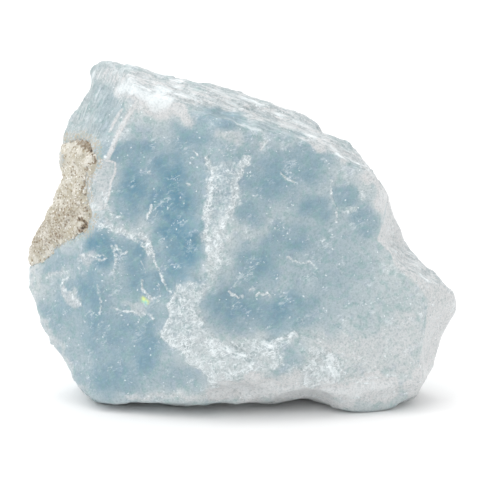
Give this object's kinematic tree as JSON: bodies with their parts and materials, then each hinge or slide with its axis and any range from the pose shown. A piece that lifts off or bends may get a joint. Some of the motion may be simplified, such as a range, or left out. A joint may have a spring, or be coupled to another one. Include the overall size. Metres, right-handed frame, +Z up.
{
  "type": "rough celestite",
  "caption": "Broken, cloudy, pale blue cleavage block of celestite with a rind of sandy matrix on one flank, trimmed flat where it rests.",
  "frame": {"origin": "middle of the bounding box's underside, on the flat spot that the stone rests on", "axes": "+Z up, +X along the width of the best face, which looks towards -Y and leans back ten degrees; the horn and the matrix are at -X"},
  "size_m": [0.0598, 0.0306, 0.0465],
  "materials": {
    "celestite": "cloudy, translucent, pale blue, glassy on cleavages and frosty white on broken ground",
    "matrix": "matt, grainy, beige with brown specks"
  },
  "bodies": {
    "root": {"celestite": "celestite", "matrix_rind": "matrix"}
  },
  "joints": []
}
